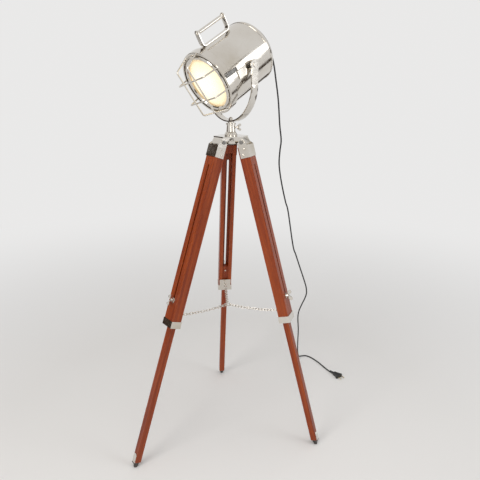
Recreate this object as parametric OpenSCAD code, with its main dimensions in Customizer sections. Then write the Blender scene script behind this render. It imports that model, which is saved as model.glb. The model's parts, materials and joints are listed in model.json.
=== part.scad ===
// Tripod floor lamp with a drum-shaped spotlight head in a yoke.
// Origin: on the floor, straight below the lamp stem. +Z is up, +Y runs to the back leg.

/* [Tripod] */
// Height of the leg hinge pins above the floor
hinge_height = 1100; // [900:10:1300]
// Distance of each hinge pin from the lamp axis
hinge_radius = 48; // [44:1:64]
// Spread of the left leg from vertical, in degrees
left_spread = 18.8; // [12:0.2:22]
// Spread of the right leg from vertical, in degrees
right_spread = 15.2; // [12:0.2:22]
// Spread of the back leg from vertical, in degrees
back_spread = 15.6; // [12:0.2:22]
// Turn of the left and right legs away from the front, in degrees
front_leg_turn = 60; // [50:1:62]

/* [Hub] */
// Diameter of a leg hinge pin
hinge_pin_d = 8; // [6:0.5:9]
// Height of the hub top above the hinge pins
hub_rise = 18; // [14:1:24]
// Thickness of the hub top plate
hub_plate = 4; // [3:0.5:6]

/* [Upper legs] */
// Width of the wooden channel
channel_width = 50; // [44:1:56]
// Depth of the wooden channel
channel_depth = 36; // [34:1:38]
// Thickness of the outer web of the channel
channel_web = 10; // [7:0.5:12]
// Distance from the hinge pin down to the end of the wood
channel_end = 640; // [560:10:700]
// Width of the slot that the wing bolt runs in
slot_width = 7; // [6.6:0.1:9]
// Distance from the hinge pin to the upper end of the slot
slot_start = 82; // [76:1:140]
// Height of the metal band at the end of the wood
band_height = 24; // [16:1:34]
// Thickness of the band
band_wall = 2; // [1.5:0.1:3]

/* [Lower legs] */
// Width of the sliding lower leg
slider_width = 22; // [16:0.5:24]
// Depth of the sliding lower leg
slider_depth = 21; // [16:0.5:22]
// Running gap round the sliding leg
slider_gap = 0.5; // [0.3:0.05:0.8]
// Height of the wing bolt above the end of the wood
wing_bolt_rise = 92; // [60:1:180]
// Diameter of the wing bolt
wing_bolt_d = 6; // [5:0.5:6]
// Span of the wings
wing_span = 38; // [30:1:44]
// Length of the steel point below the wood
foot_length = 20; // [14:1:40]
// Length of the foot plate on the outer side of the wood
foot_plate_length = 32; // [24:1:60]

/* [Chains] */
// Thickness of the chain wire
chain_wire = 2.4; // [2:0.1:2.8]
// Outer width of a chain link
link_width = 10; // [9:0.2:12]
// Number of links in each strand, an even number
link_count = 16; // [14:2:18]
// Drop of the centre ring below the chain hooks
ring_drop = 10; // [4:1:30]
// Radius of the centre ring
ring_radius = 11; // [10:0.5:16]
// Height of the chain hook above the end of the wood
hook_rise = 40; // [34:1:100]
// Sag of a strand at its middle
chain_sag = 5; // [0:1:12]

/* [Stem] */
// Outer diameter of the socket tube
socket_d = 27; // [25:1:34]
// Diameter of the stem that turns in the socket
stem_d = 20; // [14:0.5:20]
// Height of the socket above the hub, with its collar
socket_height = 42; // [36:1:60]
// Radial running gap of the stem and the tilt bolts
shaft_gap = 0.1; // [0.05:0.01:0.1]

/* [Yoke] */
// Straight part of each yoke arm, from its bend up to the tilt axis
yoke_arm = 59; // [54:1:110]
// Gap between the drum and the yoke on each side
yoke_clear = 13; // [13:0.5:19]
// Width of the yoke strap
strap_width = 26; // [18:1:30]
// Thickness of the yoke strap
strap_thickness = 4; // [3:0.5:6]
// Turn of the head about the stem, in degrees
head_pan = -57; // [-90:1:-20]
// Tilt of the head below level, in degrees
head_tilt = 30.4; // [0:0.2:45]

/* [Head] */
// Outer radius of the lamp drum
drum_radius = 99; // [92:0.5:100]
// Thickness of the drum sheet
drum_wall = 2; // [1.2:0.1:3]
// Distance from the tilt axis to the open front edge of the drum
drum_front = 90; // [84:1:110]
// Distance from the tilt axis to the rear edge of the drum
drum_back = 84; // [78:1:100]
// Length of the rear cap behind the drum
cap_length = 30; // [22:1:40]
// How far the bezel ring stands outside the drum
bezel_step = 5.6; // [5:0.2:8]
// Length of the bezel ring
bezel_length = 27; // [24:0.5:34]
// Turn of the bezel hinge and latch about the lamp axis, in degrees
door_turn = -12.2; // [-16:0.2:-10]
// Width of the rim between the visible lens and the drum's outside
lens_border = 19; // [17:0.5:29]
// Rise of the lens dome
lens_rise = 16; // [8:0.5:22]
// Distance of the guard wires from the tilt axis
guard_reach = 163; // [150:1:175]
// Thickness of the guard wires
guard_wire = 5; // [3:0.5:6]
// Distance of each guard wire from the lamp axis
guard_offset = 34; // [26:1:42]

/* [Handle] */
// Height of the grip above the lamp axis
grip_height = 142; // [136:1:160]
// Distance from the tilt axis to the front arm of the handle
handle_front = 71; // [56:1:76]
// Distance from the tilt axis to the rear arm of the handle
handle_back = 46; // [36:1:60]
// Diameter of the grip
grip_d = 11; // [9:0.5:16]
// Width of the handle strap
handle_width = 18; // [14:1:24]
// Thickness of the handle strap
handle_thickness = 3; // [2:0.5:4]

/* [Cord] */
// Diameter of the power cord
cord_d = 5.5; // [5:0.1:7]
// Distance of the cord gland below the lamp axis
gland_drop = 40; // [36:1:50]
// Length of the cord gland
gland_length = 31; // [22:1:40]

/* [Hidden] */
$fn = 64;

nickel = [0.78, 0.77, 0.75];
dark_metal = [0.30, 0.29, 0.28];
stained_wood = [0.50, 0.24, 0.11];
frosted = [0.97, 0.93, 0.82];
black_plastic = [0.08, 0.08, 0.08];
touch_gap = 0.3;
seat_gap = 0.05;
// How far a cut runs past the face it opens
past = 1;

// Legs: azimuth measured from the front, and spread
left_leg = [-front_leg_turn, left_spread];
right_leg = [front_leg_turn, right_spread];
back_leg = [180, back_spread];

// Hub
bracket_sheet = 2;
cheek_outer = channel_width / 2 + bracket_sheet;
block_half = channel_width / 2 - touch_gap;
block_radius = 9;
block_root = 18;
block_nose = [14, -4];
hub_top = hinge_height + hub_rise;
hub_overhang = 3;
hub_core_radius = norm([block_root, block_half]) + 1.5;
hub_depth = 6;
hub_floor = hinge_height - hub_depth;
hub_floor_thickness = 9;
hub_floor_inset = 22;
cheek_radius = 9;
cheek_top = -1;
pin_head = 2;
pin_clear = 0.1;
pin_head_d = hinge_pin_d + 5;

// Upper leg: local frame with the hinge pin at the origin, the leg along -Z and outward -Y
outer_face = -channel_depth / 2;
inner_face = channel_depth / 2;
web_inside = outer_face + channel_web;
channel_inside = slider_width + 2 * slider_gap;
channel_top = 14;
channel_head = 30;
bracket_end = 52;
bracket_lip = 4;
wing_bolt_drop = channel_end - wing_bolt_rise;
slot_end = wing_bolt_drop + slot_width / 2 + 4;

// Lower leg
slider_top = wing_bolt_drop - 20;
slider_outer = web_inside + touch_gap;
slider_inner = slider_outer + slider_depth;
slider_middle = (slider_outer + slider_inner) / 2;
foot_plate = 3;
foot_plate_width = 16;
foot_top_radius = 10.5;
foot_tip_radius = 5;
wing_hub_radius = 6;
wing_thickness = 3.2;
wing_washer = 2;

// Chains
hook_radius = 5;
hook_out = inner_face + band_wall + hook_radius;
ring_wire = 3;
wire_gap = 0.2;
ring_hold = (ring_wire + chain_wire) / 2 + wire_gap;
link_hold = chain_wire + wire_gap;
hook_drop = channel_end - hook_rise;
tab_width = 44;
tab_top = hook_drop - 12;
link_rounding = 0.01;
ring_share = 0.6;

// Stem
socket_flare_d = 43;
socket_draft = 2;
socket_flare = 13;
socket_collar_d = socket_d + 6;
socket_floor = 6;
socket_top = hub_top + socket_height;
stem_stand = 3;
clamp_height = socket_top - 15;
clamp_screw_d = 5;

// Yoke, in its own frame: origin on the tilt axis, arms along +X and -X
yoke_half = drum_radius + yoke_clear;
yoke_outer = yoke_half + strap_thickness;
tilt_height = socket_top + stem_stand + yoke_outer + yoke_arm;
yoke_bend_centre = -yoke_arm;
yoke_bottom = yoke_bend_centre - yoke_outer;
pivot_end_radius = 17;
tilt_bolt_d = 8;
yoke_bolt_d = 10;
yoke_bolt_hold = 20;
nut_height = 7;
nut_radius = 7.5;

// Head, in its own frame: origin on the tilt axis, forward -Y, up +Z
bezel_radius = drum_radius + bezel_step;
lens_radius = drum_radius - lens_border;
bezel_back = drum_front - 4;
bezel_front = bezel_back + bezel_length;
bezel_bore = drum_radius + 0.7;
lens_rim = bezel_front - 10;
lens_flange = [6, 2];
lens_thickness = 3;
shelf_depth = 3;
lip_radius = bezel_radius - 6.6;
lip_round = 1.6;
lip_middle = (lip_radius + bezel_radius - lip_round) / 2;
guard_half = 77;
guard_bend = 9;
cap_back = drum_back + cap_length;
trunnion_face = drum_radius + 3;
boss_radius = 10;
boss_height = 4;
hinge_line = bezel_radius + 7.4;
holder_radius = 20;
holder_bore = 14;
holder_floor = -78;
reflector_rim = drum_front - 12;
reflector_back = -30;
reflector_mouth = drum_radius - 7;
reflector_neck = 24;
reflector_sheet = 1.5;
door_hinge_pin_d = 4;
clip_width = 12;
clip_catch = bezel_back - 12;
clip_reach = 18;
clip_sheet = 1.6;
clip_bead = 1.5;
keeper_height = 6;
keeper_sunk = 4;
knuckle_radius = 4.5;
knuckle_reach = 14;
middle_knuckle = 6;
drum_facets = 96;

// Carrying handle and gland
handle_screw_d = 5;
handle_seat = 0.5;
handle_bend = 12;
gland_neck = 14;
gland_inside = 5;
gland_seat = 3;
gland_clearance = 0.6;

// Cord route, from the gland to the plug, drawn for a tilt axis at cord_drawn_height
cord_step = 25;
cord_free = 8;
cord_drawn_height = 1338;
cord_plan = [
    [118.3, 76.8, 1374.4], [133, 86, 1383], [146, 95, 1380], [155, 101, 1364], [162, 102, 1338],
    [168, 102, 1303], [180, 104, 1229], [190, 113, 1142], [199, 122, 1088], [197, 127, 1052],
    [196, 132, 1004], [205, 146, 955], [221, 164, 895], [237, 177, 841], [251, 191, 802],
    [281, 212, 655], [297, 220, 610], [319, 228, 550], [347, 240, 475], [357, 248, 440],
    [359, 263, 402], [338, 291, 311], [349, 320, 212], [360, 359, 114], [373, 398, 50],
    [387, 424, 14], [405, 444, 3], [435, 438, 3], [466, 386, 3], [495, 302, 3], [509, 276, 5]
];
cord_stretch = tilt_height / cord_drawn_height;
gland_out = cap_back + gland_length - gland_seat;
gland_level = gland_out * cos(head_tilt) + gland_drop * sin(head_tilt);
gland_exit = [
    -gland_level * sin(head_pan), gland_level * cos(head_pan),
    tilt_height + gland_out * sin(head_tilt) - gland_drop * cos(head_tilt)
];
cord_shift = gland_exit - [cord_plan[0][0], cord_plan[0][1], cord_plan[0][2] * cord_stretch];
cord_points = [
    for (i = [0:len(cord_plan) - 1])
        let (p = cord_plan[i], raise = p[2] > 2 * cord_d ? cord_stretch : 1)
        [p[0], p[1], p[2] * raise] + cord_shift * max(0, 1 - i / cord_free)
];
plug_turn = -61.5;
plug_start = 8;
plug_length = 34;
plug_height = 14;
plug_half_width = 17;

// ---------- Frames ----------

module leg_frame(leg) {
    rotate([0, 0, leg[0]])
        translate([0, -hinge_radius, hinge_height])
            rotate([-leg[1], 0, 0])
                children();
}

module pan_frame() {
    translate([0, 0, tilt_height])
        rotate([0, 0, head_pan])
            children();
}

module head_frame() {
    pan_frame()
        rotate([head_tilt, 0, 0])
            children();
}

// Revolves a profile of [radius, forward distance] about the lamp axis
module turned(facets = 96) {
    rotate([90, 0, 0])
        rotate_extrude($fn = facets)
            children();
}

// Turns the children with the bezel, whose hinge and latch stand at an angle to the handle
module door_frame() {
    rotate([0, door_turn, 0])
        children();
}

function leg_point(leg, across, y, drop) =
    let (spread = leg[1],
         out = hinge_radius - y * cos(spread) + drop * sin(spread),
         up = hinge_height - y * sin(spread) - drop * cos(spread))
    [out * sin(leg[0]) + across * cos(leg[0]), -out * cos(leg[0]) + across * sin(leg[0]), up];

function leg_length(leg) = hinge_height / cos(leg[1]);

// ---------- Hub and stem ----------

function hub_corners(out, side) = [
    for (turn = [-front_leg_turn, front_leg_turn, 180])
        for (x = [-side, side])
            [x * cos(turn) + out * sin(turn), x * sin(turn) - out * cos(turn)]
];

// The block of one leg, with the bore of the hinge pin across it
module hinge_block() {
    floor = hub_floor_thickness - hub_depth + touch_gap;
    rotate([90, 0, 90])
        linear_extrude(2 * block_half, center = true)
            translate([-hinge_radius, 0])
                difference() {
                    union() {
                        circle(block_radius);
                        polygon([
                            [-block_nose[0], block_nose[1]], [0, block_nose[1]], [0, floor],
                            [hinge_radius - block_root, floor],
                            [hinge_radius - block_root, hub_rise - hub_plate / 2],
                            [1 - hub_overhang, hub_rise - hub_plate / 2]
                        ]);
                    }
                    circle(hinge_pin_d / 2);
                }
}

module hub_casting() {
    core_height = hub_rise - hub_plate / 2 + hub_depth - hub_floor_thickness;
    color(nickel)
        difference() {
            union() {
                translate([0, 0, hub_top - hub_plate])
                    linear_extrude(hub_plate)
                        polygon(hub_corners(hinge_radius + hub_overhang, cheek_outer));
                translate([0, 0, hub_floor + hub_floor_thickness])
                    cylinder(h = core_height - 1, r = hub_core_radius);
                for (leg = [left_leg, right_leg, back_leg])
                    translate([0, 0, hinge_height])
                        rotate([0, 0, leg[0]])
                            hinge_block();
            }
            translate([0, 0, hub_floor - past])
                cylinder(h = hub_top - hub_floor + 2 * past, d = yoke_bolt_d);
        }
}

module hub_bottom_plate() {
    color(nickel)
        translate([0, 0, hub_floor])
            difference() {
                linear_extrude(hub_floor_thickness)
                    polygon(hub_corners(hinge_radius - hub_floor_inset, block_half - past));
                translate([0, 0, -past])
                    cylinder(h = hub_floor_thickness + 2 * past, d = yoke_bolt_d);
            }
}

module leg_hinge_pins() {
    color(dark_metal)
        for (leg = [left_leg, right_leg, back_leg])
            rotate([0, 0, leg[0]])
                translate([0, -hinge_radius, hinge_height])
                    rotate([0, 90, 0]) {
                        cylinder(h = 2 * cheek_outer + past, d = hinge_pin_d, center = true);
                        for (end = [-1, 1])
                            translate([0, 0, end * (cheek_outer + pin_clear + pin_head / 2)])
                                cylinder(h = pin_head, d = pin_head_d, center = true);
                    }
}

module stem_socket() {
    bore = stem_d / 2 + shaft_gap;
    tube = socket_d / 2;
    flare = socket_flare_d / 2;
    collar = socket_collar_d / 2;
    flare_edge = 4;
    collar_depth = 7;
    color(nickel)
        difference() {
            translate([0, 0, hub_top])
                rotate_extrude()
                    polygon([
                        [0, 0], [flare, 0], [flare, flare_edge],
                        [tube + socket_draft + 2, socket_flare - 2],
                        [tube + socket_draft, socket_flare], [tube, socket_height - collar_depth],
                        [collar, socket_height - collar_depth + 1], [collar, socket_height - 1],
                        [collar - 1, socket_height], [0, socket_height]
                    ]);
            translate([0, 0, hub_top + socket_floor])
                cylinder(h = socket_height, r = bore);
            translate([0, 0, hub_top - past])
                cylinder(h = socket_floor + 2 * past, d = yoke_bolt_d);
            translate([0, 0, clamp_height])
                rotate([0, 90, 0])
                    cylinder(h = socket_d, d = clamp_screw_d + 2 * shaft_gap);
        }
}

// A wing head along +Z from the origin: a hub and two round lobes that spread along X
module wing_head(span, height) {
    lobe = span * 0.18;
    lobe_place = span / 2 - lobe;
    bite = 0.7 * lobe;
    cylinder(h = height * 0.6, r = wing_hub_radius, $fn = 40);
    rotate([90, 0, 0])
        linear_extrude(wing_thickness, center = true)
            union() {
                for (side = [-1, 1])
                    translate([side * lobe_place, height])
                        circle(lobe, $fn = 40);
                polygon([
                    [-wing_hub_radius, 0], [wing_hub_radius, 0], [lobe_place + bite, height - bite],
                    [lobe_place - bite, height + bite], [0, height * 0.6],
                    [bite - lobe_place, height + bite], [-lobe_place - bite, height - bite]
                ]);
            }
}

module stem_clamp_screw() {
    neck = 8;
    color(nickel)
        translate([0, 0, clamp_height])
            rotate([0, 90, 0]) {
                translate([0, 0, stem_d / 2 + shaft_gap])
                    cylinder(h = socket_d / 2 - stem_d / 2 + neck + past, d = clamp_screw_d);
                translate([0, 0, socket_d / 2 + neck])
                    wing_head(24, 9);
            }
}

// The bolt that holds the socket and both hub plates together
module socket_bolt() {
    bolt_head = 6;
    color(dark_metal)
        translate([0, 0, hub_floor]) {
            cylinder(h = hub_top - hub_floor + socket_floor, d = yoke_bolt_d);
            translate([0, 0, -bolt_head])
                cylinder(h = bolt_head, r = 9.5, $fn = 6);
        }
}

module swivel_stem() {
    color(nickel)
        difference() {
            translate([0, 0, hub_top + socket_floor + touch_gap])
                cylinder(h = socket_height + stem_stand - socket_floor - touch_gap, d = stem_d);
            translate([0, 0, socket_top + stem_stand - yoke_bolt_hold])
                cylinder(h = yoke_bolt_hold + past, d = yoke_bolt_d);
        }
}

// ---------- Yoke ----------

module yoke_profile() {
    difference() {
        union() {
            translate([0, yoke_bend_centre])
                circle(yoke_outer, $fn = drum_facets);
            translate([-yoke_outer, yoke_bend_centre])
                square([2 * yoke_outer, pivot_end_radius - yoke_bend_centre]);
        }
        translate([0, yoke_bend_centre])
            circle(yoke_half, $fn = drum_facets);
        translate([-yoke_half, yoke_bend_centre])
            square([2 * yoke_half, 2 * yoke_outer]);
        translate([-2 * yoke_outer, pivot_end_radius])
            square(4 * yoke_outer);
    }
}

module yoke() {
    color(nickel)
        pan_frame()
            difference() {
                intersection() {
                    rotate([90, 0, 0])
                        linear_extrude(2 * pivot_end_radius, center = true)
                            yoke_profile();
                    rotate([90, 0, 90])
                        linear_extrude(4 * yoke_outer, center = true)
                            union() {
                                circle(pivot_end_radius);
                                translate([-strap_width / 2, -2 * yoke_outer])
                                    square([strap_width, 2 * yoke_outer]);
                            }
                }
                rotate([0, 90, 0])
                    cylinder(h = 4 * yoke_outer, d = tilt_bolt_d, center = true);
                translate([0, 0, yoke_bottom - past])
                    cylinder(h = strap_thickness + 2 * past, d = yoke_bolt_d);
            }
}

module yoke_nut() {
    dome = 6.5;
    color(nickel)
        translate([0, 0, socket_top + stem_stand]) {
            translate([0, 0, -yoke_bolt_hold])
                cylinder(h = yoke_bolt_hold + strap_thickness + past, d = yoke_bolt_d);
            translate([0, 0, strap_thickness + touch_gap])
                cylinder(h = nut_height, r = nut_radius, $fn = 6);
            translate([0, 0, strap_thickness + touch_gap + nut_height])
                intersection() {
                    translate([0, 0, -2])
                        sphere(r = dome, $fn = 40);
                    cylinder(h = dome, r = 2 * dome);
                }
        }
}

module tilt_bolts() {
    shank = yoke_outer - drum_radius + 6;
    low_head = [2.5, 16];
    color(nickel)
        pan_frame()
            for (side = [0, 180])
                rotate([0, 0, side])
                    translate([yoke_outer, 0, 0])
                        rotate([0, 90, 0]) {
                            translate([0, 0, -shank])
                                cylinder(h = shank + past, d = tilt_bolt_d);
                            cylinder(h = low_head[0], d = low_head[1]);
                        }
}

module tilt_washers() {
    thickness = yoke_half - trunnion_face - boss_height - touch_gap;
    color(dark_metal)
        pan_frame()
            for (side = [0, 180])
                rotate([0, 0, side])
                    translate([yoke_half - thickness, 0, 0])
                        rotate([0, 90, 0])
                            difference() {
                                cylinder(h = thickness, r = boss_radius);
                                translate([0, 0, -past])
                                    cylinder(h = thickness + 2 * past, d = tilt_bolt_d);
                            }
}

// ---------- Head ----------

module lamp_body() {
    inside = drum_radius - drum_wall;
    color(nickel)
        head_frame()
            difference() {
                turned()
                    polygon([
                        [inside - seat_gap, -drum_back - 3.5], [inside - 1, -drum_back - 3.5],
                        [inside - 1, 10 - drum_back], [inside, 12 - drum_back],
                        [inside, drum_front], [drum_radius, drum_front],
                        [drum_radius, -drum_back], [inside - seat_gap, -drum_back]
                    ]);
                rotate([0, 90, 0])
                    cylinder(h = 3 * drum_radius, d = tilt_bolt_d + 2 * shaft_gap, center = true);
            }
}

// A plate on each side of the drum, curved to its sheet, with the boss of the tilt axis
module trunnion_plates() {
    front = bezel_back - 24;
    half_height = 13;
    sunk = 4;
    color(nickel)
        head_frame()
            difference() {
                for (side = [0, 180])
                    rotate([0, 0, side]) {
                        rotate([90, 0, 90])
                            translate([0, 0, drum_radius - sunk])
                                linear_extrude(trunnion_face - drum_radius + sunk) {
                                    circle(half_height + 2);
                                    translate([side == 0 ? -front : 0, -half_height])
                                        square([front, 2 * half_height]);
                                }
                        rotate([0, 90, 0])
                            translate([0, 0, trunnion_face - past])
                                cylinder(h = boss_height + past, r = boss_radius - 2);
                    }
                rotate([90, 0, 0])
                    cylinder(h = 4 * drum_front, r = drum_radius, center = true, $fn = drum_facets);
                rotate([0, 90, 0])
                    cylinder(h = 3 * drum_radius, d = tilt_bolt_d + 2 * shaft_gap, center = true);
            }
}

module rear_cap() {
    flat = 50;
    bead = 0.8;
    shoulder = drum_back + 4;
    depth = cap_back - shoulder;
    vent = [4, 24];
    vent_radius = 46;
    color(nickel)
        head_frame()
            difference() {
                turned()
                    polygon(concat(
                        [[drum_radius - drum_wall, -drum_back], [drum_radius + bead, -drum_back],
                         [drum_radius + bead, 1 - shoulder], [drum_radius, -shoulder]],
                        [for (a = [0:10:90])
                            [flat + (drum_radius - flat) * cos(a), -shoulder - depth * sin(a)]],
                        [[0, -cap_back], [0, -cap_back + drum_wall]],
                        [for (a = [90:-10:0])
                            [flat + (drum_radius - flat - drum_wall) * cos(a),
                             -shoulder - (depth - drum_wall) * sin(a)]]
                    ));
                translate([0, cap_back, -gland_drop])
                    rotate([90, 0, 0])
                        cylinder(h = cap_length, d = gland_neck, center = true);
                for (a = [15:15:165])
                    rotate([0, a - 90, 0])
                        translate([0, cap_back, vent_radius])
                            cube([vent[0], cap_length, vent[1]], center = true);
            }
}

module reflector() {
    steps = 9;
    seat = drum_radius - drum_wall - touch_gap;
    reach = reflector_rim - reflector_back;
    swell = reflector_mouth - reflector_neck;
    color([0.85, 0.85, 0.84])
        head_frame()
            turned()
                polygon(concat(
                    [for (i = [0:steps])
                        [reflector_neck + swell * sqrt(i / steps), reflector_back + reach * i / steps]],
                    [[seat, reflector_rim], [seat, reflector_rim + 2],
                     [reflector_mouth + 1, reflector_rim + 2]],
                    [for (i = [steps:-1:0])
                        [reflector_neck - reflector_sheet + swell * sqrt(i / steps),
                         reflector_back + 1 + reach * i / steps]]
                ));
}

module lamp_holder() {
    foot = drum_wall - cap_back;
    foot_radius = holder_radius + 8;
    color(black_plastic)
        head_frame()
            turned(64)
                polygon([
                    [0, foot], [foot_radius, foot], [foot_radius, foot + 4], [holder_radius, foot + 8],
                    [holder_radius, -52], [holder_bore, -52], [holder_bore, holder_floor], [0, holder_floor]
                ]);
}

module bulb() {
    radius = 30;
    centre = 6;
    neck = holder_bore - 1;
    base = holder_floor + touch_gap;
    color([0.98, 0.96, 0.90])
        head_frame()
            turned(64)
                polygon(concat(
                    [[0, base], [neck - 3, base], [neck, base + 6], [neck, -50], [neck + 2, -46]],
                    [for (a = [-60:12:84]) [radius * cos(a), centre + radius * sin(a)]],
                    [[0, centre + radius]]
                ));
}

// The side outline of the handle strap: a base with two bends and two arms
module handle_outline(inset) {
    low = drum_radius - handle_seat + inset;
    bend = handle_bend - inset;
    front = handle_front - inset;
    back = handle_back - inset;
    for (y = [bend - back, front - bend])
        translate([y, low + bend])
            circle(bend, $fn = 48);
    translate([bend - back, low])
        square([front + back - 2 * bend, 2 * bend]);
    translate([-back, low + bend])
        square([front + back, grip_height + handle_width - low - bend]);
}

module handle_bracket() {
    eye = handle_width / 2;
    color(nickel)
        head_frame()
            difference() {
                intersection() {
                    rotate([90, 0, -90])
                        linear_extrude(handle_width, center = true)
                            difference() {
                                handle_outline(0);
                                handle_outline(handle_thickness);
                            }
                    rotate([90, 0, 0])
                        linear_extrude(4 * drum_front, center = true)
                            union() {
                                translate([0, grip_height])
                                    circle(eye);
                                translate([-eye, 0])
                                    square([handle_width, grip_height]);
                            }
                }
                rotate([90, 0, 0])
                    cylinder(h = 4 * drum_front, r = drum_radius, center = true, $fn = drum_facets);
                translate([0, 0, grip_height])
                    rotate([90, 0, 0])
                        cylinder(h = 4 * drum_front, d = handle_screw_d, center = true);
            }
}

module handle_grip() {
    color(nickel)
        head_frame()
            translate([0, handle_back - handle_thickness, grip_height])
                rotate([90, 0, 0])
                    difference() {
                        cylinder(h = handle_front + handle_back - 2 * handle_thickness, d = grip_d);
                        translate([0, 0, -past])
                            cylinder(h = handle_front + handle_back, d = handle_screw_d);
                    }
}

module handle_screws() {
    head = 3;
    shank = 20;
    color(dark_metal)
        head_frame()
            for (end = [[handle_back, 180], [-handle_front, 0]])
                translate([0, end[0], grip_height])
                    rotate([0, 0, end[1]])
                        rotate([90, 0, 0]) {
                            cylinder(h = head, d = 9, $fn = 32);
                            translate([0, 0, -shank])
                                cylinder(h = shank + past, d = handle_screw_d, $fn = 32);
                        }
}

module cable_gland() {
    flange = [20, 3];
    nut = [21, 9];
    sleeve = gland_length - nut[1];
    color(black_plastic)
        head_frame()
            translate([0, cap_back, -gland_drop])
                rotate([-90, 0, 0])
                    difference() {
                        union() {
                            translate([0, 0, -gland_inside])
                                cylinder(h = gland_inside + flange[1], d = gland_neck, $fn = 40);
                            translate([0, 0, -gland_inside])
                                cylinder(h = flange[1], d = flange[0], $fn = 40);
                            cylinder(h = nut[1], d = nut[0], $fn = 6);
                            translate([0, 0, nut[1]])
                                rotate_extrude($fn = 40)
                                    polygon([[0, 0], [8, 0], [7.5, 6], [5, sleeve], [0, sleeve]]);
                        }
                        translate([0, 0, gland_length - gland_seat - touch_gap])
                            cylinder(h = gland_seat + 2 * past, d = cord_d + 2 * gland_clearance, $fn = 40);
                    }
}

// ---------- Bezel door ----------

module hinge_knuckle(from, to) {
    translate([-hinge_line, -bezel_back, from])
        difference() {
            cylinder(h = to - from, r = knuckle_radius, $fn = 40);
            translate([0, 0, -past])
                cylinder(h = to - from + 2 * past, d = door_hinge_pin_d + 2 * shaft_gap, $fn = 40);
        }
}

module bezel_hinge() {
    near = middle_knuckle + touch_gap;
    leaf = [hinge_line + knuckle_radius - drum_radius + 3, 14, 2 * knuckle_reach];
    color(nickel)
        head_frame()
            door_frame()
                difference() {
                    union() {
                        for (from = [-knuckle_reach, near])
                            hinge_knuckle(from, from + knuckle_reach - near);
                        difference() {
                            translate([-hinge_line - knuckle_radius, 5 - bezel_back, -knuckle_reach])
                                cube(leaf);
                            translate([-hinge_line - knuckle_radius - past, 4 - bezel_back, 0])
                                linear_extrude(leaf[2] + 2 * past, center = true)
                                    square([knuckle_radius + 2, leaf[1] + 3]);
                        }
                        for (from = [-knuckle_reach, near])
                            translate([-hinge_line, knuckle_radius - 2 - bezel_back, from])
                                cube([8, 5, knuckle_reach - near]);
                    }
                    rotate([90, 0, 0])
                        cylinder(h = 4 * drum_front, r = drum_radius, center = true, $fn = drum_facets);
                    translate([-hinge_line, -bezel_back, 0])
                        cylinder(h = 3 * knuckle_reach, d = door_hinge_pin_d + 2 * shaft_gap,
                                 center = true, $fn = 40);
                }
}

module bezel_hinge_pin() {
    rivet = 2;
    color(dark_metal)
        head_frame()
            door_frame()
                translate([-hinge_line, -bezel_back, 0]) {
                    cylinder(h = 2 * knuckle_reach + 1, d = door_hinge_pin_d, center = true, $fn = 40);
                    for (end = [-1, 1])
                        translate([0, 0, end * (knuckle_reach + rivet / 2)])
                            cylinder(h = rivet, d = door_hinge_pin_d + 3, center = true, $fn = 40);
                }
}

// The keeper on the drum: a low block with a groove that the clip's bead springs into
module clip_keeper() {
    half_length = 7;
    side = 2;
    color(nickel)
        head_frame()
            door_frame()
                difference() {
                    translate([drum_radius - keeper_sunk, -clip_catch - half_length, -clip_width / 2 - side])
                        cube([keeper_height + keeper_sunk, 2 * half_length, clip_width + 2 * side]);
                    rotate([90, 0, 0])
                        cylinder(h = 4 * drum_front, r = drum_radius, center = true, $fn = drum_facets);
                    translate([drum_radius + keeper_height + 1, -clip_catch, 0])
                        cylinder(h = clip_width + 3 * side, r = clip_bead + 0.7, center = true, $fn = 32);
                }
}

// The clip riveted to the bezel, its tongue reaching back over the keeper
module spring_clip() {
    tongue = drum_radius + keeper_height + touch_gap + 1;
    front = bezel_front - 12;
    color(dark_metal)
        head_frame()
            door_frame() {
                difference() {
                    translate([bezel_radius - 3, 5 - bezel_front, -clip_width / 2])
                        cube([5, bezel_length - 8, clip_width]);
                    rotate([90, 0, 0])
                        cylinder(h = 4 * drum_front, r = bezel_radius, center = true, $fn = drum_facets);
                }
                translate([tongue, -front, -clip_width / 2])
                    cube([clip_sheet, front - bezel_back + clip_reach, clip_width]);
                translate([tongue + 0.4, -clip_catch, 0])
                    cylinder(h = clip_width, r = clip_bead, center = true, $fn = 32);
                translate([tongue, clip_reach - bezel_back - 1, -clip_width / 2])
                    rotate([0, 0, -35])
                        cube([clip_sheet, 7, clip_width]);
                translate([bezel_radius + 1.5, 9 - bezel_front, 0])
                    rotate([0, 90, 0])
                        cylinder(h = 2, r = 2.5, $fn = 32);
            }
}

module bezel() {
    shelf = lens_rim - shelf_depth;
    leaf = [hinge_line - bezel_radius + 4, knuckle_reach, 2 * middle_knuckle];
    color(nickel)
        head_frame()
            door_frame()
                difference() {
                    union() {
                        turned()
                            polygon([
                                [bezel_bore, bezel_back], [bezel_radius - 0.6, bezel_back],
                                [bezel_radius, bezel_back + 1], [bezel_radius, bezel_front - lip_round],
                                [bezel_radius - 0.5, bezel_front - 0.5],
                                [bezel_radius - lip_round, bezel_front],
                                [lip_radius, bezel_front], [lip_radius, lens_rim],
                                [lens_radius + 2, lens_rim], [lens_radius + 2, shelf],
                                [bezel_bore - 6, shelf], [bezel_bore, shelf - 4]
                            ]);
                        difference() {
                            union() {
                                hinge_knuckle(-middle_knuckle, middle_knuckle);
                                translate([-hinge_line, -bezel_back - leaf[1], -middle_knuckle])
                                    cube(leaf);
                            }
                            rotate([90, 0, 0])
                                cylinder(h = 4 * drum_front, r = bezel_radius - 1, center = true,
                                         $fn = drum_facets);
                        }
                    }
                    translate([-hinge_line, -bezel_back, 0])
                        cylinder(h = 30, d = door_hinge_pin_d + 2 * shaft_gap, center = true, $fn = 40);
                }
}

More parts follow.
